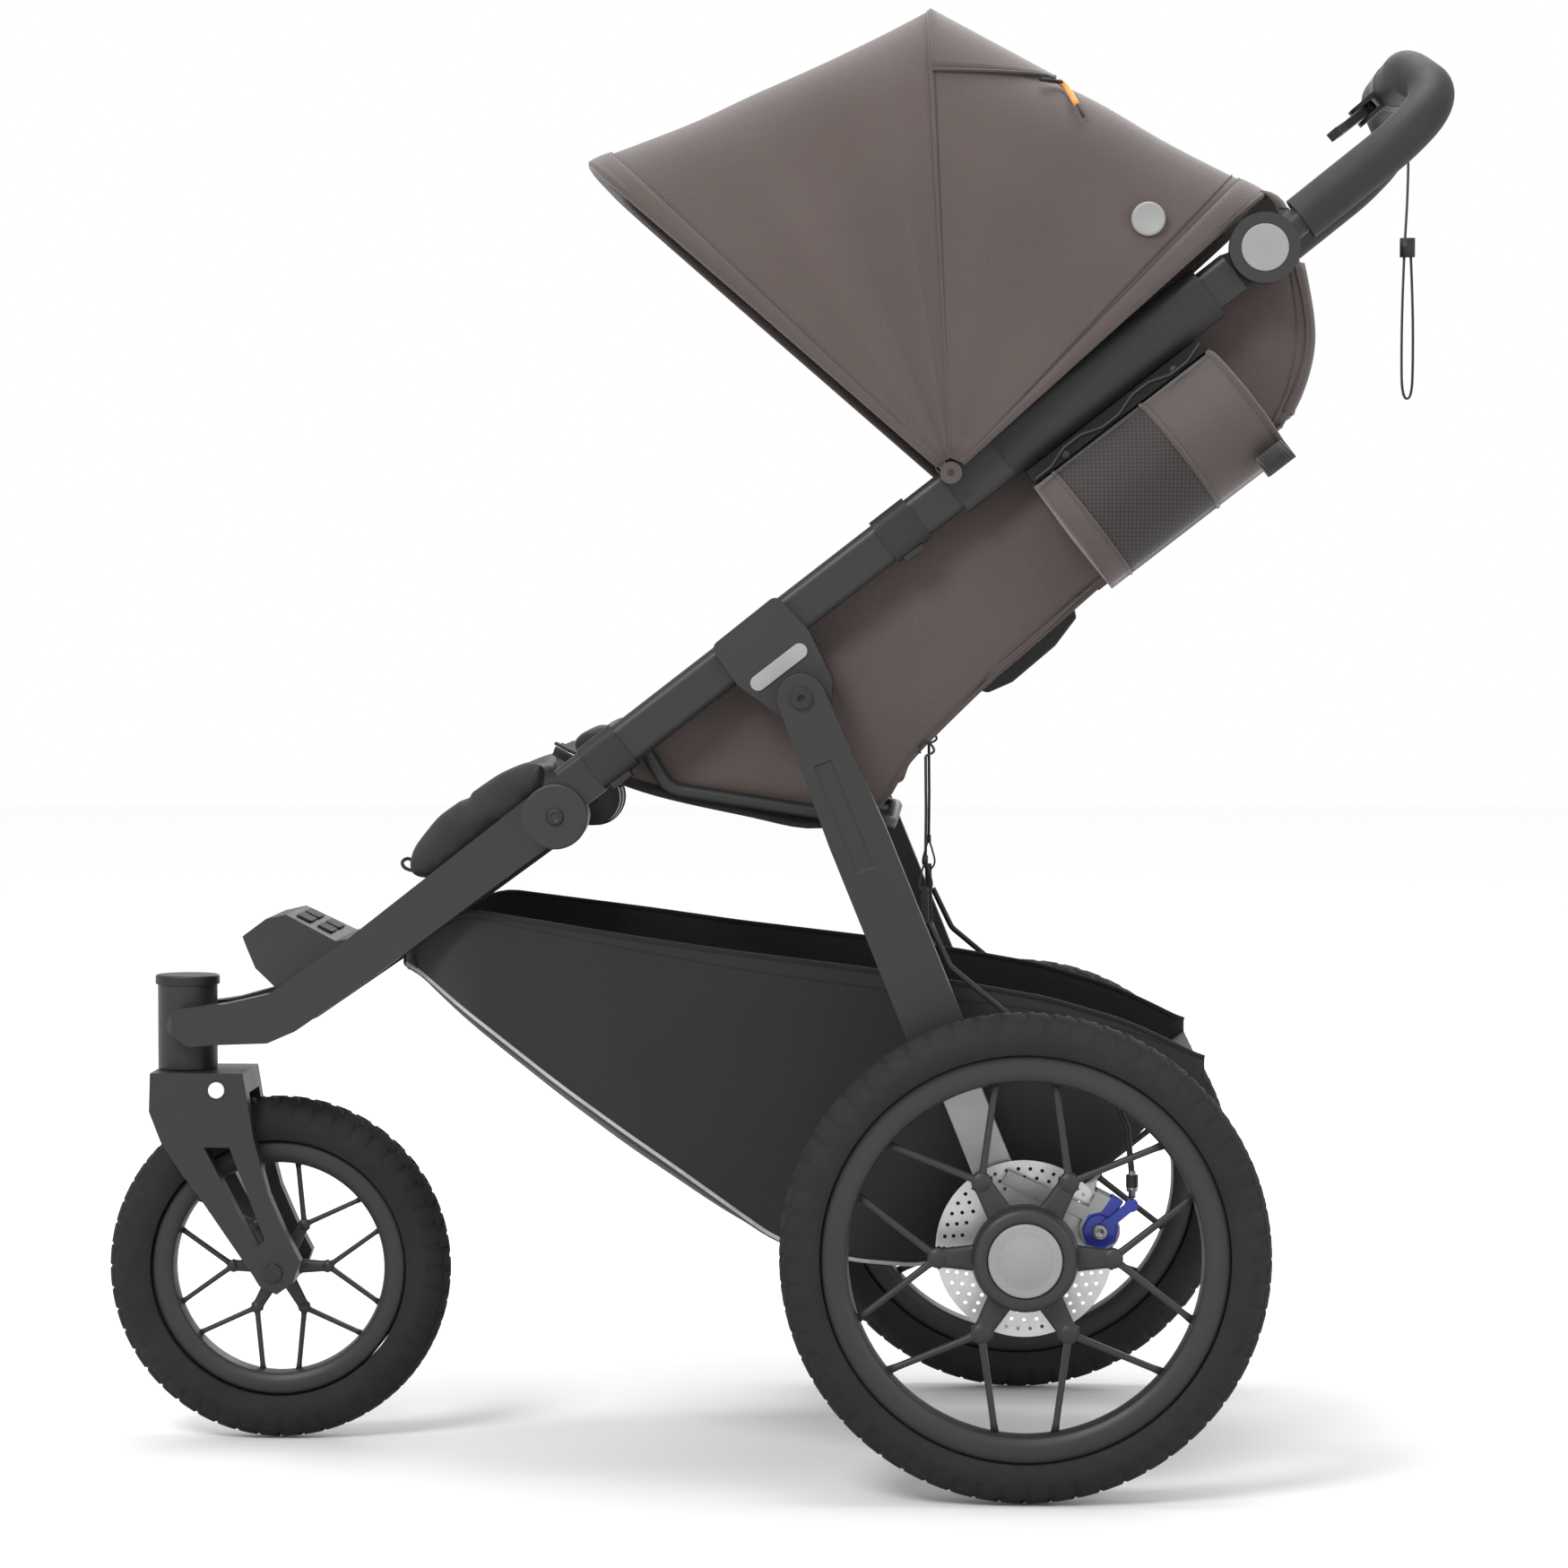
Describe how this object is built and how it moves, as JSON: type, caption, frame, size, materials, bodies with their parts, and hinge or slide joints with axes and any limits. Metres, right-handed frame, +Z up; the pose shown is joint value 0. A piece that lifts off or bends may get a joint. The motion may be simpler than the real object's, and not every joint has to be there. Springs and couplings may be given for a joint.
{
  "type": "jogging stroller",
  "caption": "Three-wheeled jogging stroller with folding frame, reclining canopied seat, swivel front fork, disc-braked rear wheels, basket and tilting handlebar.",
  "frame": {"origin": "on the floor, under the middle of the overall length and width", "axes": "+X towards the handlebar, -X towards the front wheel, +Z up, -Y is the child's left side"},
  "size_m": [1.1527, 0.654, 1.2323],
  "materials": {
    "frame": "satin charcoal powder coat",
    "bracket": "satin moulded charcoal",
    "inlay": "light grey",
    "bolt": "black",
    "sleeve": "dark leatherette",
    "grip": "dark leatherette",
    "fabric": "taupe woven melange",
    "black_fabric": "black woven",
    "webbing": "black webbing",
    "pad": "dark padded cloth",
    "knob": "satin",
    "tread": "rubber",
    "tyre": "tyre rubber",
    "rim": "satin charcoal",
    "silver": "brushed",
    "disc": "brushed",
    "caliper": "blue anodised",
    "cap": "light grey",
    "button": "white",
    "cable": "black",
    "bearing": "steel"
  },
  "bodies": {
    "upper_frame": {"main_rail_left": "frame", "main_rail_right": "frame", "rail_brackets": "bracket", "bracket_inlays": "inlay", "leg_pivot_bolts": "bolt", "rail_sleeves": "sleeve", "seat_loops": "webbing", "fold_discs": "bracket", "seat_tube": "bolt", "seat_base": "fabric", "seat_pad": "pad", "lap_harness": "webbing", "side_pouches": "fabric", "pouch_strips": "knob", "canopy_rear_panel": "fabric", "seat_tether": "cable", "basket": "black_fabric"},
    "seat_back": {"seat_back": "fabric", "back_pad": "pad", "shoulder_harness": "webbing", "recline_grip": "knob"},
    "front_frame": {"front_rails": "frame", "head_tube": "frame", "head_bearings": "bearing", "footplate": "bracket", "tread_pads": "tread", "calf_rest": "black_fabric"},
    "swivel_knob": {"swivel_knob": "knob"},
    "fork": {"fork": "frame", "front_axle": "bolt"},
    "fork_button": {"fork_button": "button"},
    "front_wheel": {"front_tyre": "tyre", "front_rim": "rim"},
    "rear_legs": {"rear_leg_left": "frame", "rear_leg_right": "frame", "rear_axle": "silver", "calipers": "caliper", "brake_cables": "cable"},
    "caliper_arm_left": {"caliper_arm_left": "caliper"},
    "caliper_arm_right": {"caliper_arm_right": "caliper"},
    "parking_pedal": {"parking_pedal": "knob"},
    "rear_wheel_left": {"rear_tyre_left": "tyre", "rear_rim_left": "rim", "brake_disc_left": "disc"},
    "rear_wheel_right": {"rear_tyre_right": "tyre", "rear_rim_right": "rim", "brake_disc_right": "disc"},
    "release_cap_left": {"release_cap_left": "cap"},
    "release_cap_right": {"release_cap_right": "cap"},
    "handlebar": {"handlebar": "bracket", "handle_grips": "grip", "brake_clamp": "knob"},
    "handle_button_left": {"handle_button_left": "cap"},
    "handle_button_right": {"handle_button_right": "cap"},
    "brake_lever": {"brake_lever": "knob"},
    "wrist_strap": {"wrist_strap": "webbing"},
    "canopy_mid": {"canopy_mid_bow": "bolt", "canopy_mid_panel": "fabric"},
    "canopy_front": {"canopy_front_bow": "bolt", "canopy_front_panel": "fabric"}
  },
  "joints": [
    {"name": "front_fold", "type": "hinge", "parent": "upper_frame", "child": "front_frame", "pos_m": [-0.1652, 0, 0.5546], "axis": [0, -1, 0], "range_deg": [0, 112], "deforming": ["basket", "seat_tether"]},
    {"name": "leg_fold", "type": "hinge", "parent": "upper_frame", "child": "rear_legs", "pos_m": [0.0393, 0, 0.6533], "axis": [0, -1, 0], "range_deg": [0, 76.01]},
    {"name": "seat_recline", "type": "hinge", "parent": "upper_frame", "child": "seat_back", "pos_m": [0.1165, 0, 0.588], "axis": [0, -1, 0], "range_deg": [0, 22]},
    {"name": "handle_tilt", "type": "hinge", "parent": "upper_frame", "child": "handlebar", "pos_m": [0.4179, 0, 1.0217], "axis": [0, 1, 0], "range_deg": [-20, 100]},
    {"name": "handle_button_left_press", "type": "slide", "parent": "handlebar", "child": "handle_button_left", "axis": [0, 1, 0], "range_m": [0, 0.003], "stiffness_N_per_m": 900, "springref_m": -0.002},
    {"name": "handle_button_right_press", "type": "slide", "parent": "handlebar", "child": "handle_button_right", "axis": [0, -1, 0], "range_m": [0, 0.003], "stiffness_N_per_m": 900, "springref_m": -0.002},
    {"name": "brake_squeeze", "type": "hinge", "parent": "handlebar", "child": "brake_lever", "pos_m": [0.5197, 0, 1.1575], "axis": [-0.65, 0, 0.76], "range_deg": [0, 20], "stiffness_Nm_per_rad": 0.8, "springref_deg": -11.46},
    {"name": "strap_swing", "type": "hinge", "parent": "handlebar", "child": "wrist_strap", "pos_m": [0.5425, 0, 1.177], "axis": [0, 1, 0], "range_deg": [-100.01, 20.01]},
    {"name": "caliper_arm_left_pull", "type": "hinge", "parent": "rear_legs", "child": "caliper_arm_left", "pos_m": [0.284, 0, 0.2164], "axis": [0, -1, 0], "range_deg": [0, 20.01]},
    {"name": "caliper_arm_right_pull", "type": "hinge", "parent": "rear_legs", "child": "caliper_arm_right", "pos_m": [0.284, 0, 0.2164], "axis": [0, -1, 0], "range_deg": [0, 20.01]},
    {"name": "parking_brake", "type": "hinge", "parent": "rear_legs", "child": "parking_pedal", "pos_m": [0.2225, 0, 0.2], "axis": [0, 1, 0], "range_deg": [0, 25]},
    {"name": "rear_spin_left", "type": "hinge", "parent": "rear_legs", "child": "rear_wheel_left", "pos_m": [0.2225, -0.304, 0.2], "axis": [0, 1, 0], "continuous": true},
    {"name": "rear_spin_right", "type": "hinge", "parent": "rear_legs", "child": "rear_wheel_right", "pos_m": [0.2225, 0.304, 0.2], "axis": [0, 1, 0], "continuous": true},
    {"name": "release_cap_left_press", "type": "slide", "parent": "rear_wheel_left", "child": "release_cap_left", "axis": [0, 1, 0], "range_m": [0, 0.003], "stiffness_N_per_m": 900, "springref_m": -0.002},
    {"name": "release_cap_right_press", "type": "slide", "parent": "rear_wheel_right", "child": "release_cap_right", "axis": [0, -1, 0], "range_m": [0, 0.003], "stiffness_N_per_m": 900, "springref_m": -0.002},
    {"name": "fork_swivel", "type": "hinge", "parent": "front_frame", "child": "fork", "pos_m": [-0.5075, 0, 0.361], "axis": [0, 0, 1], "continuous": true},
    {"name": "swivel_lock", "type": "hinge", "parent": "front_frame", "child": "swivel_knob", "pos_m": [-0.5075, 0, 0.402], "axis": [0, 0, 1], "range_deg": [0, 90]},
    {"name": "fork_button_press", "type": "slide", "parent": "fork", "child": "fork_button", "axis": [0, 1, 0], "range_m": [0, 0.003], "stiffness_N_per_m": 900, "springref_m": -0.002},
    {"name": "front_spin", "type": "hinge", "parent": "fork", "child": "front_wheel", "pos_m": [-0.4265, 0, 0.15], "axis": [0, 1, 0], "continuous": true},
    {"name": "canopy_mid_fold", "type": "hinge", "parent": "upper_frame", "child": "canopy_mid", "pos_m": [0.1615, 0, 0.838], "axis": [0, 1, 0], "range_deg": [0, 48], "deforming": ["canopy_mid_panel"]},
    {"name": "canopy_front_fold", "type": "hinge", "parent": "canopy_mid", "child": "canopy_front", "pos_m": [0.1615, 0, 0.838], "axis": [0, 1, 0], "range_deg": [0, 38.41], "deforming": ["canopy_front_panel"]}
  ],
  "couplings": [
    {"joint": "leg_fold", "follows": "front_fold", "ratio": 0.67857},
    {"joint": "canopy_front_fold", "follows": "canopy_mid_fold", "ratio": 0.8},
    {"joint": "strap_swing", "follows": "handle_tilt", "ratio": -1},
    {"joint": "caliper_arm_left_pull", "follows": "brake_squeeze", "ratio": 1},
    {"joint": "caliper_arm_right_pull", "follows": "brake_squeeze", "ratio": 1}
  ]
}
